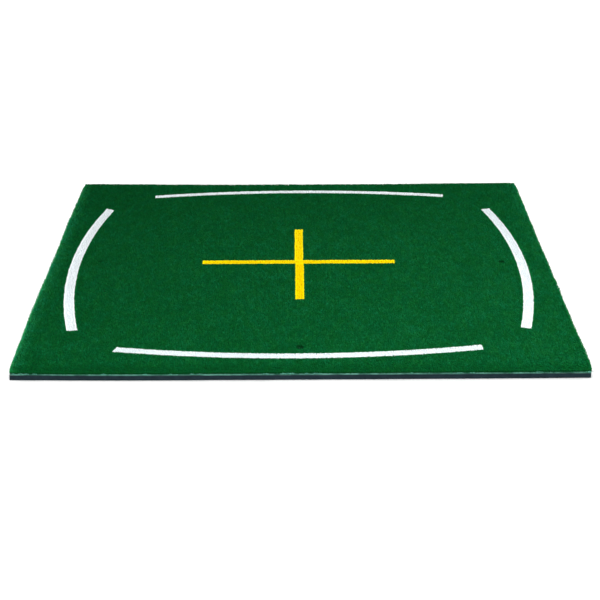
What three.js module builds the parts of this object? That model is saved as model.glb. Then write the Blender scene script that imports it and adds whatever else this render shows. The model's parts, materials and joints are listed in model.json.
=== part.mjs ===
// A square golf hitting mat, lying flat, in millimetres with +Z up. The origin is on the floor under its
// middle, and -Y is the side that a player sees first.
//
// The mat is a laminate. From the floor up it is a foam pad, a glue film, the latex coat of the turf, the
// woven cloth that the turf is tufted through, and the pile. The markings are not printed: each is a strip
// of white or yellow turf, with its own pile, cloth and latex, let into a slot cut right through the green
// turf and bonded to the same glue film. Four round tee holes go through every layer.

import * as THREE from 'three';

// The whole mat.
const MAT_SIDE = 1500;

// Layer thicknesses. They are exact binary fractions, so that stacked layers meet face to face.
const FOAM_THICKNESS = 13.25;
const GLUE_THICKNESS = 0.25;
const LATEX_THICKNESS = 2.5;
const CLOTH_THICKNESS = 1.5;
const PILE_HEIGHT = 7.5;

// The knife gap between a strip and its slot, and between two strips that butt together.
const KNIFE_GAP = 0.3;

// White arcs: one near each side, bulging towards it. turn is the angle from the +X side, counted
// anticlockwise in degrees. reach is from the mat's middle to the arc's centre line at its top, rise is how
// far that line falls back over half of ARC_CHORD, and shift is how far along its side that top lies.
// ends gives where each end is cut, along the side from the mat's middle: at the outer edge, then the inner.
const ARC_CHORD = 980;
const ARCS = [
  { name: 'right_arc', turn: 0, width: 29, reach: 673, rise: 54.8, shift: 3, ends: [[-489, -480], [490, 482]] },
  { name: 'back_arc', turn: 90, width: 24.5, reach: 670, rise: 47, shift: -1, ends: [[-493, -489], [492, 490]] },
  { name: 'left_arc', turn: 180, width: 29.5, reach: 680, rise: 52.7, shift: -18, ends: [[-504, -488], [491, 489]] },
  { name: 'front_arc', turn: 270, width: 28.5, reach: 659.5, rise: 48, shift: -16, ends: [[-497, -489], [486, 485]] },
];
const ARC_STEPS = 16;

// Yellow cross: one long strip from left to right, and two arms that butt against it. An arm's end is its
// distance from the mat's middle line, towards the back or the front.
const LONG_STRIP = { left: -295, right: 289, y: 13, width: 26.5 };
const BACK_ARM = { x: -2.2, end: 295, width: 26 };
const FRONT_ARM = { x: 0, end: -276.5, width: 25.5 };

// Tee holes, punched through all the layers, one just inside each arc.
const TEE_HOLE_RADIUS = 7;
const TEE_HOLE_SIDES = 16;
const TEE_HOLES = [
  { x: 613, y: 11 },
  { x: 5, y: 607 },
  { x: -607, y: 27 },
  { x: 0, y: -601 },
];

// Heights of the layers' undersides.
const GLUE_Z = FOAM_THICKNESS;
const LATEX_Z = GLUE_Z + GLUE_THICKNESS;
const CLOTH_Z = LATEX_Z + LATEX_THICKNESS;
const PILE_Z = CLOTH_Z + CLOTH_THICKNESS;

const FINISHES = {
  foam: { color: 0x24313a, roughness: 0.85 },
  glue: { color: 0x5a6a62, roughness: 0.5 },
  latex: { color: 0x356353, roughness: 0.8 },
  cloth: { color: 0x508c77, roughness: 0.9 },
  green: { color: 0x0d5428, roughness: 0.95 },
  white: { color: 0xf2f2f5, roughness: 0.95 },
  yellow: { color: 0xffd600, roughness: 0.95 },
};

// A closed slab of one layer: the outline, less its holes, from z up to z + thickness.
function slab(name, outline, holes, z, thickness, finish) {
  const shape = new THREE.Shape(outline);
  shape.holes = holes.map((points) => new THREE.Path(points));
  const geometry = new THREE.ExtrudeGeometry(shape, { depth: thickness, bevelEnabled: false });
  const material = new THREE.MeshStandardMaterial({ ...FINISHES[finish], metalness: 0 });
  const mesh = new THREE.Mesh(geometry, material);
  mesh.name = name;
  mesh.position.z = z;
  return mesh;
}

// The four corners of a rectangle given by its limits, made larger by grow on every side.
function rectangle({ left, right, front, back }, grow = 0) {
  return [
    new THREE.Vector2(left - grow, front - grow),
    new THREE.Vector2(right + grow, front - grow),
    new THREE.Vector2(right + grow, back + grow),
    new THREE.Vector2(left - grow, back + grow),
  ];
}

// A tee hole's outline.
function teeHole({ x, y }) {
  return Array.from({ length: TEE_HOLE_SIDES }, (_, index) => {
    const angle = (2 * Math.PI * index) / TEE_HOLE_SIDES;
    return new THREE.Vector2(x + TEE_HOLE_RADIUS * Math.cos(angle), y + TEE_HOLE_RADIUS * Math.sin(angle));
  });
}

// An arc strip's outline, made larger by grow all round. It is drawn bulging towards +X and then turned.
function arcOutline({ turn, width, reach, rise, shift, ends }, grow = 0) {
  const halfChord = ARC_CHORD / 2;
  const radius = (halfChord ** 2 + rise ** 2) / (2 * rise);
  const centreX = reach - radius;
  const edge = (edgeRadius, from, to) => {
    const first = Math.asin((from - shift) / edgeRadius);
    const last = Math.asin((to - shift) / edgeRadius);
    return Array.from({ length: ARC_STEPS + 1 }, (_, index) => {
      const angle = first + ((last - first) * index) / ARC_STEPS;
      return new THREE.Vector2(centreX + edgeRadius * Math.cos(angle), shift + edgeRadius * Math.sin(angle));
    });
  };
  const [[outerStart, innerStart], [outerEnd, innerEnd]] = ends;
  const outer = edge(radius + width / 2 + grow, outerStart - grow, outerEnd + grow);
  const inner = edge(radius - width / 2 - grow, innerEnd + grow, innerStart - grow);
  const origin = new THREE.Vector2(0, 0);
  return [...outer, ...inner].map((point) => point.rotateAround(origin, THREE.MathUtils.degToRad(turn)));
}

// Limits of the three strips of the cross.
const longStrip = {
  left: LONG_STRIP.left,
  right: LONG_STRIP.right,
  front: LONG_STRIP.y - LONG_STRIP.width / 2,
  back: LONG_STRIP.y + LONG_STRIP.width / 2,
};
const backArm = {
  left: BACK_ARM.x - BACK_ARM.width / 2,
  right: BACK_ARM.x + BACK_ARM.width / 2,
  front: longStrip.back + KNIFE_GAP,
  back: BACK_ARM.end,
};
const frontArm = {
  left: FRONT_ARM.x - FRONT_ARM.width / 2,
  right: FRONT_ARM.x + FRONT_ARM.width / 2,
  front: FRONT_ARM.end,
  back: longStrip.front - KNIFE_GAP,
};

// The one plus-shaped slot that all three strips of the cross lie in.
function crossSlot() {
  const [longFrontLeft, longFrontRight, longBackRight, longBackLeft] = rectangle(longStrip, KNIFE_GAP);
  const [frontLeft, frontRight] = rectangle(frontArm, KNIFE_GAP);
  const [, , backRight, backLeft] = rectangle(backArm, KNIFE_GAP);
  return [
    frontLeft,
    frontRight,
    new THREE.Vector2(frontRight.x, longFrontRight.y),
    longFrontRight,
    longBackRight,
    new THREE.Vector2(backRight.x, longBackRight.y),
    backRight,
    backLeft,
    new THREE.Vector2(backLeft.x, longBackLeft.y),
    longBackLeft,
    longFrontLeft,
    new THREE.Vector2(frontLeft.x, longFrontLeft.y),
  ];
}

const matOutline = rectangle({
  left: -MAT_SIDE / 2,
  right: MAT_SIDE / 2,
  front: -MAT_SIDE / 2,
  back: MAT_SIDE / 2,
});
const teeHoles = TEE_HOLES.map(teeHole);
const turfHoles = [...teeHoles, ...ARCS.map((arc) => arcOutline(arc, KNIFE_GAP)), crossSlot()];

const mat = new THREE.Group();

// The pad and its glue film have only the tee holes.
mat.add(slab('foam_base', matOutline, teeHoles, 0, FOAM_THICKNESS, 'foam'));
mat.add(slab('glue_film', matOutline, teeHoles, GLUE_Z, GLUE_THICKNESS, 'glue'));

// The green turf has the slots too.
mat.add(slab('turf_latex', matOutline, turfHoles, LATEX_Z, LATEX_THICKNESS, 'latex'));
mat.add(slab('turf_cloth', matOutline, turfHoles, CLOTH_Z, CLOTH_THICKNESS, 'cloth'));
mat.add(slab('green_pile', matOutline, turfHoles, PILE_Z, PILE_HEIGHT, 'green'));

// A marking strip is a piece of the same turf in its own colour.
function addStrip(name, outline, finish) {
  mat.add(slab(`${name}_latex`, outline, [], LATEX_Z, LATEX_THICKNESS, 'latex'));
  mat.add(slab(`${name}_cloth`, outline, [], CLOTH_Z, CLOTH_THICKNESS, 'cloth'));
  mat.add(slab(`${name}_pile`, outline, [], PILE_Z, PILE_HEIGHT, finish));
}
ARCS.forEach((arc) => addStrip(arc.name, arcOutline(arc), 'white'));
addStrip('cross_long_strip', rectangle(longStrip), 'yellow');
addStrip('cross_back_arm', rectangle(backArm), 'yellow');
addStrip('cross_front_arm', rectangle(frontArm), 'yellow');

export default mat;
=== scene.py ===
# Looks for a square golf hitting mat: a foam pad, a film of glue, and tufted turf with its latex backcoat
# and cloth. White arcs and a yellow cross of the same turf are let into the green. The pile is built strand
# by strand. Metres, +Z up, floor at z = 0.
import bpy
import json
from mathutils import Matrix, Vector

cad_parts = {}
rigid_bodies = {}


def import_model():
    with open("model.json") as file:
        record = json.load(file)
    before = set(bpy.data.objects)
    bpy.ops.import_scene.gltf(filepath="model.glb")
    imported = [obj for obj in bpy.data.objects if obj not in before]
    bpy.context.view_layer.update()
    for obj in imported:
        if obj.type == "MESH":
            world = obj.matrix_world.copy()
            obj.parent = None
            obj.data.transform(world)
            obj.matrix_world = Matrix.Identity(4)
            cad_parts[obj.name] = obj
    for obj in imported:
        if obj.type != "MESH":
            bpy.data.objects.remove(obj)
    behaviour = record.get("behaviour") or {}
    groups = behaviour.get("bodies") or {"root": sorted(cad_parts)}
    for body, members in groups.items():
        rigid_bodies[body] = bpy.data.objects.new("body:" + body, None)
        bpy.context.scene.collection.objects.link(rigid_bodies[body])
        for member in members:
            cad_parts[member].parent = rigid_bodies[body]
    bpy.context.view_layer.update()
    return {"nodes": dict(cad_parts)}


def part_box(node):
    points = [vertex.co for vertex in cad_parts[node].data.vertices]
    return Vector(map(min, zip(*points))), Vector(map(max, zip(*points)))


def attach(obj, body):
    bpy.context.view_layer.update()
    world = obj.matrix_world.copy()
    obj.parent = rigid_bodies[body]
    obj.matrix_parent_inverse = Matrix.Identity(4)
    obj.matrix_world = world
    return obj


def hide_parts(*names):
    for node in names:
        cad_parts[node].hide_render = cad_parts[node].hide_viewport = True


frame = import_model()

import json
import math

import bpy
import numpy as np
from mathutils import Matrix, Vector
from mathutils.geometry import tessellate_polygon

MM = 0.001
SEED = 20

# Turf. A tuft is a bunch of strands tufted through the cloth.
TUFT_PITCH = 5.5 * MM
TUFT_JITTER = 1.5 * MM
STRANDS_PER_TUFT = 3
TUFT_RADIUS = 1.3 * MM
# A strand's radius at its root and at its bend, and how far along it the bend is.
STRAND_RADIUS = 0.95 * MM
STRAND_MID_RADIUS = 0.8 * MM
STRAND_MID = 0.8
# How far the tufts lean together, and how much their heights differ, both over patches of the pile.
LEAN = 0.8 * MM
LEAN_PATCH = 50 * MM
HEIGHT_WAVER = 0.3 * MM
HEIGHT_PATCH = 14 * MM
# The tufts' shades differ over small patches and over broad ones, as (change in shade, width of a patch).
FINE_PATCHES = (0.15, 6 * MM)
BROAD_PATCHES = (0.025, 50 * MM)
# How far the tips stand above the height that the pile is packed at, on average and at most.
TIP_HEIGHT = 1.0 * MM
TIP_LIMIT = 2.2 * MM
# The dense lower part of the pile, where strands can't be told apart, as a share of the pile's height.
THATCH_SHARE = 0.55
THATCH_INSET = 1.6 * MM
# The strands' roots are this share of the way up the pile, inside the thatch.
STRAND_ROOT_SHARE = 0.43
# The rows of tufts are taken to run from front to back, so the pile's shades run on further that way.
ROW_STRETCH = (1.0, 0.45, 1.0)
# The full-length strands along a cut edge. They splay out over it, and less so within reach of a corner.
EDGE_PITCH = 1.3 * MM
EDGE_ROWS = 2
EDGE_SPLAY = 3.0 * MM
CORNER_REACH = 40 * MM
# The mat was cut by hand. Its outline stands out or in by these amounts, at these places along each side,
# as (place, outwards). The back corners stand out much more than the rest: they may really curl up a
# little, and here they lie flat and further back instead.
CUT_PITCH = 10 * MM
LEFT_CUT = [
    (-0.75, 0.0), (-0.56, 0.0), (-0.49, 2.6 * MM), (-0.2, 2.6 * MM), (-0.08, 0.8 * MM),
    (0.25, 0.7 * MM), (0.42, 1.6 * MM), (0.58, -1.0 * MM), (0.75, -2.2 * MM),
]
RIGHT_CUT = [
    (-0.75, 1.2 * MM), (-0.7, 2.6 * MM), (-0.62, 1.8 * MM), (-0.5, 1.0 * MM), (0.75, 1.3 * MM),
]
FRONT_CUT = [
    (-0.75, -3.0 * MM), (-0.6, 0.0), (-0.37, 2.2 * MM), (0.0, 1.2 * MM), (0.5, -0.7 * MM),
    (0.75, -2.5 * MM),
]
BACK_CUT = [(-0.75, 14.0 * MM), (-0.3, 0.0), (0.3, 0.0), (0.75, 8.0 * MM)]
CUT_WAVER = 0.4 * MM
# The front left corner is rubbed round: it is drawn in by this much, over this reach.
RUBBED_IN = 3.5 * MM
RUBBED_REACH = 22 * MM
# Near the left edge, and near the back of the right edge, the strands are given painted light, as if the edge
# strands caught the lamps. Near the front edge they are given painted shade, and towards the back a little.
# Each is a change in a strand's shade at the edge, which fades out over a reach. The front's is given at its
# left end and at its right end, and it doesn't reach the left edge. Over the whole pile the shade also rises
# from left to right: painted light towards the right and painted shade towards the left.
SHADE = 0.4
LEAST_SHADE = 0.08
LEFT_PAINTED_LIGHT = 0.46
RIGHT_PAINTED_LIGHT = 0.28
SIDE_REACH = 38 * MM
FRONT_PAINTED_SHADE = (0.36, 0.22)
FRONT_REACH = 55 * MM
BACK_PAINTED_SHADE = 0.07
BACK_REACH = 600 * MM
RIGHTWARD_PAINTED_LIGHT = 0.03
# The strands that face the front are darker still: painted shade.
FACING_PAINTED_SHADE = 0.12
# Loose strands hang over the mat's cut edge. These are the shares of them that are kept, as places from left
# to right and the share at each.
STRAY_PITCH = 3.5 * MM
STRAYS_KEPT = ((-0.63, -0.6, -0.5, -0.45, 0.4, 0.6), (0.1, 0.9, 0.9, 0.4, 0.5, 1.0))
# Short threads of the cloth stand up at the cut edge in clumps, where two smooth noises together pass a
# level. The level is given from left to right in the same way, and the clumps are fewer where it is higher.
# A thread's height grows with how far the level is passed, up to a limit.
FRAY_PITCH = 0.9 * MM
FRAY_CLUMP = 9 * MM
FRAY_PATCH = 100 * MM
FRAY_PATCH_SHARE = 0.3
FRAY_LEVEL = ((-0.42, -0.34, 0.08, 0.16), (0.42, 0.22, 0.22, 0.5))
FRAY_LIMIT = 0.4
FRAY_RADIUS_SHARE = 0.6
SEAM_GAP = 0.4 * MM
# The strips' strands stand this far in from their cut edges, and the cut wanders by this much.
STRIP_INSET = 0.6 * MM
STRIP_WAVER = 0.8 * MM
STRIP_STEP = 4 * MM
# The tee holes are used unequally. For each side's hole, how far the pile stands back from it, and the shade
# of the strands that line it, which is painted shade for the hole's dark recess.
TEE_GAPS_AND_SHADES = {
    "right": (1.8 * MM, 0.0), "back": (0.4 * MM, 0.1), "left": (1.3 * MM, 0.03), "front": (4.2 * MM, 0.0),
}
# The strands that line a tee hole are rooted round an outline this much wider than the hole.
TEE_LINING = 0.5 * MM
# An outline narrower than this is a tee hole's, and a wider one is a strip's slot.
TEE_HOLE_LIMIT = 30 * MM
# The green pile's strands are made in bands from front to back, with about this many strands in each.
BAND_STRANDS = 19500

ARCS = ["right_arc", "back_arc", "left_arc", "front_arc"]
CROSS = ["cross_long_strip", "cross_back_arm", "cross_front_arm"]
# The strips differ a little in shade: painted shade on the strips that the lamps light most, and painted
# light on those they light least.
STRIP_PAINTED_LIGHT_AND_SHADE = {
    "front_arc": -0.3, "left_arc": 0.4, "right_arc": -0.2, "back_arc": 0.5,
    "cross_long_strip": -0.1, "cross_back_arm": 0.0, "cross_front_arm": -0.32,
}

rng = np.random.default_rng(SEED)


# ---- Outlines, read from the CAD nodes ----

def outlines(node):
    """The outlines of a slab's top face, the longest first, each an array of points that runs
    anticlockwise."""
    mesh = frame["nodes"][node].data
    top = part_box(node)[1].z
    spot = {
        v.index: (round(v.co.x, 6), round(v.co.y, 6)) for v in mesh.vertices if abs(v.co.z - top) < 1e-6
    }
    uses = {}
    for face in mesh.polygons:
        if all(i in spot for i in face.vertices):
            for a, b in face.edge_keys:
                key = tuple(sorted((spot[a], spot[b])))
                uses[key] = uses.get(key, 0) + 1
    links = {}
    for (a, b), count in uses.items():
        if count == 1:
            links.setdefault(a, []).append(b)
            links.setdefault(b, []).append(a)
    loops = []
    while links:
        loop = [min(links)]
        while True:
            onward = [p for p in links[loop[-1]] if len(loop) < 2 or p != loop[-2]]
            if onward[0] == loop[0]:
                break
            loop.append(onward[0])
        for p in loop:
            links.pop(p)
        loop = np.array(loop)
        loops.append(loop if flat_area(loop) > 0 else loop[::-1])
    return sorted(loops, key=lambda loop: -np.ptp(loop, axis=0).sum())


def flat_area(loop):
    """The area inside an outline, negative where it runs clockwise."""
    x, y = loop.T
    return 0.5 * float(np.sum(x * np.roll(y, -1) - np.roll(x, -1) * y))


def inside(points, loop):
    """Which points lie inside an outline."""
    found = np.zeros(len(points), bool)
    x, y = points.T
    for (ax, ay), (bx, by) in zip(loop, np.roll(loop, -1, axis=0)):
        if ay != by:
            found ^= ((ay > y) != (by > y)) & (x < (bx - ax) * (y - ay) / (by - ay) + ax)
    return found


def grown(loop, distance):
    """An outline moved outwards by a distance, or inwards by a negative one."""
    before = loop - np.roll(loop, 1, axis=0)
    after = np.roll(loop, -1, axis=0) - loop
    before /= np.linalg.norm(before, axis=1)[:, None]
    after /= np.linalg.norm(after, axis=1)[:, None]
    outward = np.stack([before[:, 1] + after[:, 1], -before[:, 0] - after[:, 0]], axis=1)
    outward /= (1 + np.sum(before * after, axis=1))[:, None]
    return loop + outward * distance


def along(loop, pitch, corners=False):
    """Points about pitch apart round an outline, and the outward unit normals there. With corners, they
    start at each corner of the outline. Without, they stand between the corners."""
    places, normals = [], []
    for a, b in zip(loop, np.roll(loop, -1, axis=0)):
        run = b - a
        length = np.linalg.norm(run)
        count = max(1, round(length / pitch))
        t = (np.arange(count) + (0 if corners else 0.5)) / count
        places.append(a + t[:, None] * run)
        normals.append(np.tile([run[1] / length, -run[0] / length], (count, 1)))
    return np.concatenate(places), np.concatenate(normals)


def smooth_noise(points, cell, seed):
    """Smooth noise from -1 to 1 over the mat, with features about cell wide."""
    span = 2.0
    n = int(span / cell) + 4
    grid = np.random.default_rng(seed).uniform(-1, 1, (n, n))
    at = (points + span / 2) / cell
    i, j = np.floor(at).astype(int).T
    u, v = (at - np.floor(at)).T
    u, v = u * u * (3 - 2 * u), v * v * (3 - 2 * v)
    near = grid[i, j] * (1 - u) + grid[i + 1, j] * u
    far = grid[i, j + 1] * (1 - u) + grid[i + 1, j + 1] * u
    return near * (1 - v) + far * v


# ---- Materials ----

def material(name, roughness, specular):
    """A new node material, with its tree and its Principled shader."""
    made = bpy.data.materials.new(name)
    made.use_nodes = True
    shader = made.node_tree.nodes["Principled BSDF"]
    shader.inputs["Roughness"].default_value = roughness
    shader.inputs["Specular IOR Level"].default_value = specular
    return made, made.node_tree, shader


def noise(tree, scale, detail=2.0, stretch=(1, 1, 1)):
    """A noise texture in the mat's own coordinates, in features per metre."""
    place = tree.nodes.new("ShaderNodeTexCoord")
    sized = tree.nodes.new("ShaderNodeMapping")
    sized.inputs["Scale"].default_value = stretch
    texture = tree.nodes.new("ShaderNodeTexNoise")
    texture.inputs["Scale"].default_value = scale
    texture.inputs["Detail"].default_value = detail
    tree.links.new(place.outputs["Object"], sized.inputs["Vector"])
    tree.links.new(sized.outputs["Vector"], texture.inputs["Vector"])
    return texture.outputs["Fac"]


def ramp(tree, value, stops):
    """A colour ramp over a value. Stops are (position, colour)."""
    node = tree.nodes.new("ShaderNodeValToRGB")
    while len(node.color_ramp.elements) < len(stops):
        node.color_ramp.elements.new(1.0)
    for element, (position, colour) in zip(node.color_ramp.elements, stops):
        element.position = position
        element.color = (*colour, 1)
    tree.links.new(value, node.inputs["Fac"])
    return node.outputs["Color"]


def mixed(tree, a, b, factor, blend="MIX"):
    """Two colours blended. Each input is a socket, a colour or a number."""
    node = tree.nodes.new("ShaderNodeMix")
    node.data_type = "RGBA"
    node.blend_type = blend
    for socket, value in ((node.inputs[6], a), (node.inputs[7], b), (node.inputs[0], factor)):
        if isinstance(value, bpy.types.NodeSocket):
            tree.links.new(value, socket)
        elif isinstance(value, tuple):
            socket.default_value = (*value, 1)
        else:
            socket.default_value = value
    return node.outputs[2]


def attribute(tree, name):
    """A per-strand value stored on the mesh."""
    node = tree.nodes.new("ShaderNodeAttribute")
    node.attribute_name = name
    return node.outputs["Fac"]


def bump(tree, shader, height, distance, strength=1.0):
    node = tree.nodes.new("ShaderNodeBump")
    node.inputs["Distance"].default_value = distance
    node.inputs["Strength"].default_value = strength
    tree.links.new(height, node.inputs["Height"])
    tree.links.new(node.outputs["Normal"], shader.inputs["Normal"])


def yarn(name, hole_lining_shade, dark, body, light, frayed, root, specular, tint):
    """Pile yarn. Each strand has its own shade, and broad patches differ a little. Its root is darker:
    painted shade, for the shade down among the strands. A shade of 0 is painted shade for the strands that
    line a tee hole, and a shade of 1 is the brightest painted light at the edge."""
    made, tree, shader = material(name, 0.6, specular)
    stops = [(0.0, hole_lining_shade), (LEAST_SHADE, dark), (SHADE, body), (0.8, light), (1.0, frayed)]
    shade = ramp(tree, attribute(tree, "shade"), stops)
    broad = noise(tree, 9.0, 3.0, ROW_STRETCH)
    patches = ramp(tree, broad, [(0.3, (0.97, 0.97, 0.97)), (0.7, (1.03, 1.03, 1.03))])
    shade = mixed(tree, shade, patches, 1.0, "MULTIPLY")
    fine = noise(tree, 60.0, 2.0, ROW_STRETCH)
    tints = ramp(tree, fine, [(0.35, (1.3, 1.0, 0.8)), (0.65, (0.8, 1.0, 1.2))])
    shade = mixed(tree, shade, tints, tint, "MULTIPLY")
    # Towards its root each strand takes the root colour: painted shade.
    tree.links.new(mixed(tree, root, shade, attribute(tree, "rise")), shader.inputs["Base Color"])
    return made


def thatch_look(name, dark, light):
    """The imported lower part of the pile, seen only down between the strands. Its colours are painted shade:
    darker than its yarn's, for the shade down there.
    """
    made, tree, shader = material(name, 0.9, 0.0)
    speckle = noise(tree, 400.0, 3.0)
    tree.links.new(ramp(tree, speckle, [(0.35, dark), (0.65, light)]), shader.inputs["Base Color"])
    bump(tree, shader, speckle, 1.5 * MM)
    return made


def layer_look(name, dark, light, roughness, specular, grain, mottling=70.0, stretch=(1, 1, 1)):
    """A cut layer, mottled between two colours, with a fine grain."""
    made, tree, shader = material(name, roughness, specular)
    mottle = ramp(tree, noise(tree, mottling, 4.0), [(0.35, dark), (0.65, light)])
    grains = noise(tree, grain, 3.0, stretch)
    tone = ramp(tree, grains, [(0.3, (0.8, 0.8, 0.8)), (0.7, (1.1, 1.1, 1.1))])
    tree.links.new(mixed(tree, mottle, tone, 1.0, "MULTIPLY"), shader.inputs["Base Color"])
    bump(tree, shader, grains, 0.2 * MM)
    return made


# Each yarn's colours, in order: the painted shade of a tee hole's lining, dark, body, light, the brightest
# painted light at the edge, and the painted shade at the root.
GREEN = yarn(
    "green_yarn", (0.0005, 0.022, 0.005), (0.0012, 0.064, 0.013), (0.0025, 0.111, 0.0255),
    (0.012, 0.235, 0.076), (0.04, 0.42, 0.17), (0.0012, 0.066, 0.014), 0.02, 1.0,
)
WHITE = yarn(
    "white_yarn", (0.6, 0.64, 0.64), (0.69, 0.74, 0.76), (0.84, 0.89, 0.92), (0.90, 0.94, 0.97),
    (0.92, 0.96, 0.98), (0.68, 0.72, 0.75), 0.05, 0.0,
)
YELLOW = yarn(
    "yellow_yarn", (0.7, 0.5, 0.0), (0.90, 0.68, 0.0), (0.95, 0.77, 0.002), (0.98, 0.84, 0.03),
    (1.0, 0.88, 0.05), (0.78, 0.56, 0.0), 0.02, 0.0,
)
# The thatch colours are darker than their yarns': painted shade.
GREEN_THATCH = thatch_look("green_thatch", (0.001, 0.045, 0.010), (0.0018, 0.080, 0.018))
WHITE_THATCH = thatch_look("white_thatch", (0.55, 0.6, 0.6), (0.72, 0.78, 0.78))
YELLOW_THATCH = thatch_look("yellow_thatch", (0.62, 0.4, 0.0), (0.85, 0.6, 0.001))
FOAM = layer_look(
    "foam_rubber", dark=(0.0052, 0.0132, 0.0172), light=(0.0083, 0.0188, 0.0245),
    roughness=0.85, specular=0.1, grain=900.0,
)
GLUE = layer_look(
    "glue", dark=(0.06, 0.10, 0.085), light=(0.10, 0.15, 0.125), roughness=0.4, specular=0.3, grain=300.0,
)
LATEX = layer_look(
    "latex", dark=(0.010, 0.050, 0.036), light=(0.057, 0.178, 0.138),
    roughness=0.7, specular=0.15, grain=500.0, mottling=30.0,
)
CLOTH = layer_look(
    "cloth", dark=(0.018, 0.085, 0.060), light=(0.106, 0.280, 0.223),
    roughness=0.8, specular=0.1, grain=700.0, mottling=30.0, stretch=(1, 1, 4),
)
CLOTH_THREAD = layer_look(
    "cloth_thread", dark=(0.08, 0.33, 0.24), light=(0.17, 0.54, 0.41),
    roughness=0.8, specular=0.1, grain=700.0,
)


# ---- Meshes ----

def mesh_object(name, points, triangles, attributes=None, smooth=False):
    mesh = bpy.data.meshes.new(name)
    mesh.vertices.add(len(points))
    mesh.vertices.foreach_set("co", np.ascontiguousarray(points, np.float32).ravel())
    mesh.loops.add(triangles.size)
    mesh.loops.foreach_set("vertex_index", np.ascontiguousarray(triangles, np.int32).ravel())
    mesh.polygons.add(len(triangles))
    mesh.polygons.foreach_set("loop_start", np.arange(0, triangles.size, 3, dtype=np.int32))
    mesh.update(calc_edges=True)
    mesh.polygons.foreach_set("use_smooth", np.full(len(triangles), smooth))
    for key, values in (attributes or {}).items():
        made = mesh.attributes.new(key, "FLOAT", "POINT")
        made.data.foreach_set("value", np.ascontiguousarray(values, np.float32))
    made = bpy.data.objects.new(name, mesh)
    bpy.context.scene.collection.objects.link(made)
    return made


def cut_slab(name, outer, holes, profile, pitch, rough, seed):
    """A closed layer with cut sides. The profile is its side, from the bottom up, as (height, how far it
    stands in from the outline). Points stand pitch apart round each outline, and the cut wanders by rough."""
    points, triangles, caps = [], [], ([], [])
    for loop, facing in [(outer, 1)] + [(hole, -1) for hole in holes]:
        spacing = min(pitch, np.ptp(loop, axis=0).max() / 3)
        places, _ = along(loop, spacing, corners=True)
        n = len(places)
        start = len(points)
        for level, (height, inset) in enumerate(profile):
            wander = smooth_noise(places, 12 * MM, seed + 10 * level)
            wander = wander + smooth_noise(places, 90 * MM, seed)
            ring = grown(places, -inset * facing)
            ring = ring + (grown(places, 1.0) - places) * (wander * rough)[:, None]
            points += [(x, y, height) for x, y in ring]
        for level in range(len(profile) - 1):
            for k in range(n):
                a = start + level * n + k
                b = start + level * n + (k + 1) % n
                quad = (a, b, b + n, a + n)
                triangles += [(quad[0], quad[1], quad[2]), (quad[0], quad[2], quad[3])]
                if facing < 0:
                    triangles[-2:] = [face[::-1] for face in triangles[-2:]]
        caps[0].append(list(range(start, start + n)))
        caps[1].append(list(range(start + (len(profile) - 1) * n, start + len(profile) * n)))
    for which, rings in enumerate(caps):
        numbers = [i for ring in rings for i in ring]
        flat_rings = [[Vector((points[i][0], points[i][1], 0)) for i in ring] for ring in rings]
        for a, b, c in tessellate_polygon(flat_rings):
            face = (numbers[a], numbers[b], numbers[c])
            (ax, ay, _), (bx, by, _), (cx, cy, _) = (points[i] for i in face)
            upward = (bx - ax) * (cy - ay) - (by - ay) * (cx - ax) > 0
            triangles.append(face if upward == (which == 1) else face[::-1])
    return mesh_object(name, np.array(points), np.array(triangles))


STRAND_FACES = np.array(
    [(0, 2, 1)]
    + [face for k in range(3) for face in (
        (k, (k + 1) % 3, 3 + (k + 1) % 3),
        (k, 3 + (k + 1) % 3, 3 + k),
        (3 + k, 3 + (k + 1) % 3, 6),
    )]
)


class Strands:
    """A growing set of strands, each with a root, a bend, a tip and a shade."""

    def __init__(self):
        self.parts = []

    def add(self, root, mid, tip, shade):
        """A single number as the shade is used as it is. An array is kept between the least shade and 1."""
        shades = np.clip(shade, LEAST_SHADE, 1) if np.ndim(shade) else np.full(len(root), shade)
        self.parts.append((root, mid, tip, shades))

    def joined(self):
        return [np.concatenate(column) for column in zip(*self.parts)]


def strand_mesh(name, root, mid, tip, shade, size=1.0):
    """One mesh of many strands, each a closed three-sided tapering tube."""
    n = len(root)
    turn = rng.uniform(0, 2 * math.pi, n)
    thick = rng.uniform(0.8, 1.2, n)
    points = np.zeros((n, 7, 3))
    for k in range(3):
        angle = turn + k * 2 * math.pi / 3
        ring = np.stack([np.cos(angle), np.sin(angle), np.zeros(n)], axis=1) * size * thick[:, None]
        points[:, k] = root + ring * STRAND_RADIUS
        points[:, 3 + k] = mid + ring * STRAND_MID_RADIUS
    points[:, 6] = tip
    triangles = (STRAND_FACES[None] + 7 * np.arange(n)[:, None, None]).reshape(-1, 3)
    attributes = {"shade": np.repeat(shade, 7), "rise": np.tile([0, 0, 0, 0.8, 0.8, 0.8, 1.0], n)}
    return mesh_object(name, points.reshape(-1, 3), triangles, attributes, smooth=True)


# ---- Pile ----

def painted_light_and_shade(at):
    """The painted light and painted shade in a strand's shade at each point: near the mat's edges, towards
    the back, and rising from left to right.
    """
    left, front = mat_loop.min(axis=0)
    right, back = mat_loop.max(axis=0)
    at_left = LEFT_PAINTED_LIGHT * np.clip(1 - (at[:, 0] - left) / SIDE_REACH, 0, 1)
    at_right = RIGHT_PAINTED_LIGHT * np.clip(1 - (right - at[:, 0]) / SIDE_REACH, 0, 1)
    at_right = at_right * np.clip(at[:, 1] / back, 0, 1)
    front_shade_amount = np.interp(at[:, 0], (left, right), FRONT_PAINTED_SHADE)
    at_front = front_shade_amount * np.clip(1 - (at[:, 1] - front) / FRONT_REACH, 0, 1)
    at_front = at_front * np.clip((at[:, 0] - left) / SIDE_REACH, 0, 1)
    at_back = BACK_PAINTED_SHADE * np.clip(1 - (back - at[:, 1]) / BACK_REACH, 0, 1)
    return at_left + at_right - at_front - at_back + RIGHTWARD_PAINTED_LIGHT * at[:, 0] / right


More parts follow.
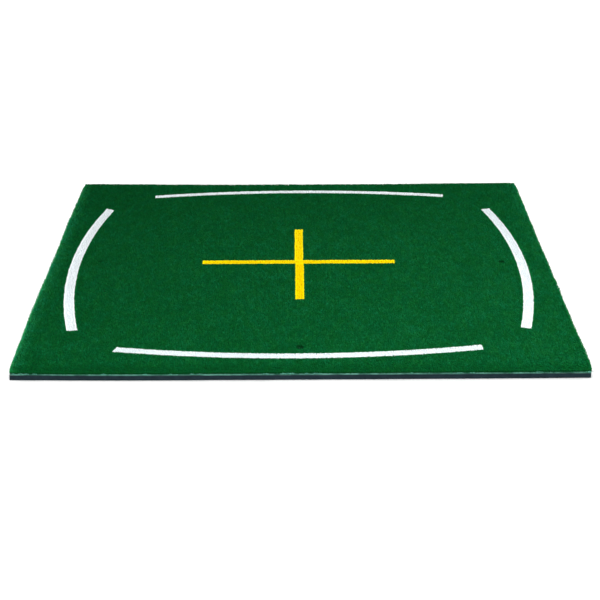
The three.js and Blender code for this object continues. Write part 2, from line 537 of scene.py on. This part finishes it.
def tufts(strands, field, holes, low, high, shade, spread=1.0):
    """Fills an outline, less its holes, with tufts that root at low and whose tips reach about high."""
    left, front = field.min(axis=0)
    right, back = field.max(axis=0)
    rows = np.arange(front + TUFT_PITCH / 2, back, TUFT_PITCH)
    stitches = np.arange(left + TUFT_PITCH / 2, right, TUFT_PITCH)
    at = np.stack(np.meshgrid(stitches, rows), axis=-1).reshape(-1, 2)
    at = at + rng.uniform(-TUFT_JITTER, TUFT_JITTER, at.shape)
    keep = inside(at, grown(field, -SEAM_GAP))
    for hole, gap in holes:
        keep &= ~inside(at, grown(hole, gap))
    at = at[keep]
    n = len(at)
    lean = np.stack([smooth_noise(at, LEAN_PATCH, 1), smooth_noise(at, LEAN_PATCH, 2)], axis=1) * LEAN
    lean += rng.normal(0, 0.9 * MM, (n, 2))
    tuft_height = TIP_HEIGHT + HEIGHT_WAVER * smooth_noise(at, HEIGHT_PATCH, 4)
    tuft_height = tuft_height + rng.normal(0, 0.4 * MM, n)
    tuft_shade = shade + FINE_PATCHES[0] * smooth_noise(at * ROW_STRETCH[:2], FINE_PATCHES[1], 3)
    tuft_shade = tuft_shade + BROAD_PATCHES[0] * smooth_noise(at, BROAD_PATCHES[1], 5)
    # Random tone, plus painted light and painted shade near the edges and across the pile.
    tuft_shade = tuft_shade + rng.normal(0, 0.05, n) + painted_light_and_shade(at)
    first = rng.uniform(0, 2 * math.pi, n)
    for k in range(STRANDS_PER_TUFT):
        angle = first + k * 2 * math.pi / STRANDS_PER_TUFT + rng.normal(0, 0.3, n)
        out = np.stack([np.cos(angle), np.sin(angle)], axis=1)
        root = np.concatenate([at + out * TUFT_RADIUS * 0.6, np.full((n, 1), low)], axis=1)
        reach = at + (out * rng.uniform(0.6, 2.0, (n, 1)) * TUFT_RADIUS + lean) * spread
        top = np.minimum(high + tuft_height + rng.normal(0, 0.4 * MM, n), high + TIP_LIMIT)
        tip = np.concatenate([reach, top[:, None]], axis=1)
        mid = root + (tip - root) * STRAND_MID
        mid[:, :2] += (rng.normal(0, 0.7 * MM, (n, 2)) + out * 0.4 * MM) * spread
        strands.add(root, mid, tip, tuft_shade + rng.normal(0, 0.04, n))


def edge_strands(strands, loop, facing, low, high, splay, shade):
    """Rows of full-length strands round an outline, rooted just inside the pile and splayed out over its
    edge. Facing is 1 where the pile is inside the outline and -1 where it is outside."""
    left, front = loop.min(axis=0)
    right, back = loop.max(axis=0)
    corners = np.array([(left, front), (left, back), (right, front), (right, back)])
    for row in range(EDGE_ROWS):
        at, outward = along(loop, EDGE_PITCH)
        outward = outward * facing
        n = len(at)
        gap = np.min(np.linalg.norm(at[:, None] - corners[None], axis=2), axis=1)
        ease = np.clip(gap / CORNER_REACH, 0, 1) if facing > 0 else np.ones(n)
        at = at - outward * (0.9 + 1.3 * row) * MM + rng.normal(0, 0.3 * MM, (n, 2))
        reach = splay * ease * (1 - 0.35 * row) * rng.uniform(0.3, 1.5, n)
        reach = reach * (1 + 0.35 * smooth_noise(at, 60 * MM, 6))
        height = high - low + np.minimum(TIP_HEIGHT + rng.normal(0, 0.6 * MM, n), TIP_LIMIT)
        root = np.concatenate([at, np.full((n, 1), low)], axis=1)
        sway = outward * reach[:, None] + rng.normal(0, 0.8 * MM, (n, 2))
        tip = root + np.concatenate([sway, height[:, None]], axis=1)
        mid = root + (tip - root) * STRAND_MID
        mid[:, :2] += outward * (0.15 * reach)[:, None] + rng.normal(0, 0.4 * MM, (n, 2))
        if shade > 0:
            # Painted light and shade near the edges, and painted shade on the strands that face the front.
            facing_shade = FACING_PAINTED_SHADE * np.clip(-outward[:, 1], 0, 1) * (splay > 0)
            shades = shade + painted_light_and_shade(at) - facing_shade + rng.normal(0, 0.1, n)
        else:
            shades = shade
        strands.add(root, mid, tip, shades)


def stray_strands(strands, loop, low):
    """Loose strands at the mat's cut edge that hang out over the cloth and the backcoat."""
    at, outward = along(loop, STRAY_PITCH)
    keep = rng.uniform(0, 1, len(at)) < np.interp(at[:, 0], *STRAYS_KEPT)
    at, outward = at[keep], outward[keep]
    n = len(at)
    at = at + rng.normal(0, 2.0 * MM, (n, 2)) * np.abs(outward[:, ::-1])
    root = np.concatenate([at - outward * 0.6 * MM, low + rng.uniform(0.8, 2.5, (n, 1)) * MM], axis=1)
    drop = rng.uniform(0.5, 3.0, n) * MM
    sideways = outward[:, ::-1] * [1, -1] * rng.normal(0, 2.0 * MM, (n, 1))
    sag = rng.uniform(-0.3, 0.3, (n, 1)) * MM
    mid = root + np.concatenate([outward * 1.6 * MM + sideways * 0.5, sag], axis=1)
    fall = -(root[:, 2:] - low + drop[:, None])
    tip = root + np.concatenate([outward * 2.2 * MM + sideways, fall], axis=1)
    strands.add(root, mid, tip, SHADE + rng.normal(0, 0.16, n))


def frayed_threads(loop, low, high):
    """Short threads of the cloth that stand up in places at the mat's cut edge, over the pile's foot."""
    at, outward = along(loop, FRAY_PITCH)
    clumps = smooth_noise(at, FRAY_CLUMP, 9) + FRAY_PATCH_SHARE * smooth_noise(at, FRAY_PATCH, 10)
    boost = np.clip(clumps - np.interp(at[:, 0], *FRAY_LEVEL), 0, FRAY_LIMIT) / FRAY_LIMIT
    at, outward, boost = at[boost > 0], outward[boost > 0], boost[boost > 0]
    n = len(at)
    root = np.concatenate([at + outward * 0.2 * MM, rng.uniform(low, high, (n, 1))], axis=1)
    sideways = outward[:, ::-1] * [1, -1] * rng.normal(0, 0.8 * MM, (n, 1))
    reach = outward * rng.uniform(1.0, 2.4, (n, 1)) * MM + sideways
    top = high + (rng.uniform(0.4, 1.2, n) + rng.uniform(1.4, 3.0, n) * boost) * MM
    tip = np.concatenate([root[:, :2] + reach, top[:, None]], axis=1)
    mid = root + (tip - root) * STRAND_MID
    return root, mid, tip, np.full(n, SHADE)


def dress(piece, node, look):
    """Gives a piece its material and its place in the frame."""
    piece.data.materials.append(look)
    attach(piece, "root")
    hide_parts(node)
    return piece


# ---- Pad, glue, backcoat and cloth ----

def hand_cut(loop):
    """The mat's outline as it was cut by hand, in short steps."""
    places, _ = along(loop, CUT_PITCH, corners=True)
    left, front = loop.min(axis=0)
    right, back = loop.max(axis=0)
    waver = smooth_noise(places, 70 * MM, 8) * CUT_WAVER
    cut = places + (grown(places, 1.0) - places) * waver[:, None]
    at_left = np.abs(places[:, 0] - left) < 1e-6
    at_right = np.abs(places[:, 0] - right) < 1e-6
    at_front = np.abs(places[:, 1] - front) < 1e-6
    at_back = np.abs(places[:, 1] - back) < 1e-6
    cut[at_left, 0] -= np.interp(places[at_left, 1], *zip(*LEFT_CUT))
    cut[at_right, 0] += np.interp(places[at_right, 1], *zip(*RIGHT_CUT))
    cut[at_front, 1] -= np.interp(places[at_front, 0], *zip(*FRONT_CUT))
    cut[at_back, 1] += np.interp(places[at_back, 0], *zip(*BACK_CUT))
    return cut


def rubbed(loop):
    """The turf's outline, with its front left corner drawn in."""
    gap = np.linalg.norm(loop - loop.min(axis=0), axis=1)
    return loop + (RUBBED_IN / math.sqrt(2) * np.clip(1 - gap / RUBBED_REACH, 0, 1))[:, None]


def side_of(loop):
    """The side of the mat that an outline is nearest to."""
    x, y = loop.mean(axis=0)
    return ["right", "back", "left", "front"][round(math.atan2(y, x) / (math.pi / 2)) % 4]


def ragged(loop):
    """The outline of a strip or of its slot, as its pile edge wanders."""
    places, outward = along(loop, STRIP_STEP, corners=True)
    waver = smooth_noise(places, 6 * MM, 11) + smooth_noise(places, 20 * MM, 12)
    return places + outward * (waver * STRIP_WAVER / 2)[:, None]


mat_loop, *hole_loops = outlines("green_pile")
mat_loop = hand_cut(mat_loop)
turf_loop = rubbed(mat_loop)
tee_loops = [loop for loop in hole_loops if np.ptp(loop, axis=0).max() < TEE_HOLE_LIMIT]
slot_loops = [loop for loop in hole_loops if np.ptp(loop, axis=0).max() >= TEE_HOLE_LIMIT]

foam_low, foam_high = (corner.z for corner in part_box("foam_base"))
foam_profile = [
    (foam_low, 0.7 * MM),
    (foam_low + 0.5 * MM, 0.2 * MM),
    (foam_low + 3.0 * MM, 0.0),
    (foam_high - 3.0 * MM, 0.1 * MM),
    (foam_high - 0.2 * MM, 0.0),
    (foam_high, 0.15 * MM),
]
foam = cut_slab("foam_pad", mat_loop, tee_loops, foam_profile, pitch=8 * MM, rough=0.25 * MM, seed=100)
dress(foam, "foam_base", FOAM)

glue_low, glue_high = (corner.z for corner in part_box("glue_film"))
glue_profile = [(glue_low, 0.3 * MM), (glue_high, 0.3 * MM)]
glue = cut_slab("glue_spread", mat_loop, tee_loops, glue_profile, pitch=12 * MM, rough=0.3 * MM, seed=200)
dress(glue, "glue_film", GLUE)


def backing(prefix, outer, holes, frayed=False):
    """The latex backcoat and the cloth of one cut piece of turf."""
    low, high = (corner.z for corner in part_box(prefix + "_latex"))
    profile = [(low, 0.1 * MM), (low + 0.4 * (high - low), -0.1 * MM), (high, 0.1 * MM)]
    latex = cut_slab(prefix + "_latex_coat", outer, holes, profile, pitch=5 * MM, rough=0.15 * MM, seed=300)
    dress(latex, prefix + "_latex", LATEX)
    low, high = (corner.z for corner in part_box(prefix + "_cloth"))
    profile = [(low, 0.1 * MM), (high, 0.2 * MM)]
    cloth = cut_slab(prefix + "_cloth_weave", outer, holes, profile, pitch=5 * MM, rough=0.2 * MM, seed=400)
    dress(cloth, prefix + "_cloth", CLOTH)
    if frayed:
        threads = frayed_threads(outer, low, high)
        threads = strand_mesh(prefix + "_cloth_frays", *threads, size=FRAY_RADIUS_SHARE)
        dress(threads, prefix + "_cloth", CLOTH_THREAD)


backing("turf", turf_loop, hole_loops, frayed=True)
for strip in ARCS + CROSS:
    backing(strip, outlines(strip + "_pile")[0], [])


# ---- Turf ----

pile_low, pile_high = (corner.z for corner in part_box("green_pile"))
strand_low = pile_low + STRAND_ROOT_SHARE * (pile_high - pile_low)
thatch_top = pile_low + THATCH_SHARE * (pile_high - pile_low)
thatch_profile = [(pile_low, 0.0), (thatch_top, 0.0)]

green = Strands()
gaps = [(loop, TEE_GAPS_AND_SHADES[side_of(loop)][0]) for loop in tee_loops]
gaps += [(ragged(loop), SEAM_GAP) for loop in slot_loops]
tufts(green, turf_loop, gaps, strand_low, pile_high, SHADE)
edge_strands(green, turf_loop, 1, pile_low, pile_high, EDGE_SPLAY, SHADE)
# The lining strands' shade is painted shade, darkening the hole's recess.
for loop in tee_loops:
    edge_strands(green, grown(loop, TEE_LINING), -1, pile_low, pile_high, 0, TEE_GAPS_AND_SHADES[side_of(loop)][1])
for loop in slot_loops:
    edge_strands(green, ragged(loop), -1, strand_low, pile_high, 0, 0.9 * SHADE)
stray_strands(green, turf_loop, pile_low)
root, mid, tip, shade = green.joined()
order = np.argsort(root[:, 1], kind="stable")
for number, band in enumerate(np.array_split(order, math.ceil(len(order) / BAND_STRANDS)), 1):
    piece = strand_mesh(f"green_pile_band_{number:02d}", root[band], mid[band], tip[band], shade[band])
    dress(piece, "green_pile", GREEN)
thatch_holes = [grown(loop, THATCH_INSET) for loop in tee_loops] + slot_loops
thatch_outer = grown(turf_loop, -THATCH_INSET)
thatch = cut_slab("green_pile_thatch", thatch_outer, thatch_holes, thatch_profile, pitch=1.0, rough=0, seed=0)
dress(thatch, "green_pile", GREEN_THATCH)

for strip in ARCS + CROSS:
    node = strip + "_pile"
    if strip in ARCS:
        slot_name, look, under_look = "white_turf", WHITE, WHITE_THATCH
    else:
        slot_name, look, under_look = "yellow_turf", YELLOW, YELLOW_THATCH
    loop = outlines(node)[0]
    field = ragged(grown(loop, -STRIP_INSET))
    # The strip's shade is shifted by its painted light and shade.
    tone = SHADE + STRIP_PAINTED_LIGHT_AND_SHADE[strip]
    pile = Strands()
    tufts(pile, field, [], strand_low, pile_high, tone, 0.6)
    edge_strands(pile, field, 1, strand_low, pile_high, 0, tone)
    dress(strand_mesh(node + "_strands", *pile.joined()), node, look)
    under = cut_slab(node + "_thatch", loop, [], thatch_profile, pitch=1.0, rough=0, seed=0)
    dress(under, node, under_look)


# ---- Camera, light and floor ----

CAMERA_PLACE = (-0.0019, -4.2249, 1.6983)
CAMERA_PITCH = 23.003
CAMERA_YAW = 0.0383
CAMERA_ROLL = -0.2328
CAMERA_LENS = 89.83
WORLD_STRENGTH = 0.57
FLOOR_LIGHT = 2.5

camera_data = bpy.data.cameras.new("camera")
camera_data.lens = CAMERA_LENS
camera_data.sensor_width = 36.0
camera = bpy.data.objects.new("camera", camera_data)
camera.location = CAMERA_PLACE
turn = (
    Matrix.Rotation(-math.radians(CAMERA_YAW), 3, "Z")
    @ Matrix.Rotation(math.radians(90 - CAMERA_PITCH), 3, "X")
    @ Matrix.Rotation(math.radians(CAMERA_ROLL), 3, "Z")
)
camera.rotation_euler = turn.to_euler("XYZ")
bpy.context.scene.collection.objects.link(camera)
bpy.context.scene.camera = camera

bpy.ops.mesh.primitive_plane_add(size=40, location=(0, 0, 0))
floor = bpy.context.object
floor.name = "floor"
floor_look, _, floor_shader = material("pale_floor", 0.9, 0.0)
floor_shader.inputs["Base Color"].default_value = (0.97, 0.97, 0.97, 1)
floor.data.materials.append(floor_look)

world = bpy.data.worlds.new("studio")
world.use_nodes = True
world.node_tree.nodes["Background"].inputs["Color"].default_value = (1, 1, 1, 1)
world.node_tree.nodes["Background"].inputs["Strength"].default_value = WORLD_STRENGTH
bpy.context.scene.world = world

# The mat's lights leave the floor alone, and the floor's light leaves the mat alone, so that the floor
# stays evenly pale and doesn't glare round the mat.
floor_receivers = bpy.data.collections.new("floor_receivers")
floor_receivers.objects.link(floor)
mat_receivers = bpy.data.collections.new("mat_receivers")
for piece in bpy.context.scene.objects:
    if piece.type == "MESH" and piece != floor:
        mat_receivers.objects.link(piece)


def soft_light(name, place, size, power, receivers):
    """A square area light at a place, turned towards the middle of the mat."""
    data = bpy.data.lights.new(name, "AREA")
    data.size = size
    data.energy = power
    light = bpy.data.objects.new(name, data)
    light.location = place
    light.rotation_euler = Vector(place).to_track_quat("Z", "Y").to_euler()
    light.visible_camera = False
    light.light_linking.receiver_collection = receivers
    bpy.context.scene.collection.objects.link(light)


soft_light("key_light", (2.0, -1.3, 1.8), size=1.4, power=100, receivers=mat_receivers)
soft_light("fill_light", (-0.4, -2.0, 1.2), size=1.2, power=35, receivers=mat_receivers)
floor_light_data = bpy.data.lights.new("floor_light", "SUN")
floor_light_data.energy = FLOOR_LIGHT
floor_light_data.angle = math.radians(60)
floor_light = bpy.data.objects.new("floor_light", floor_light_data)
floor_light.location = (0, 0, 5)
floor_light.light_linking.receiver_collection = floor_receivers
bpy.context.scene.collection.objects.link(floor_light)

bpy.context.scene.view_settings.view_transform = "Standard"
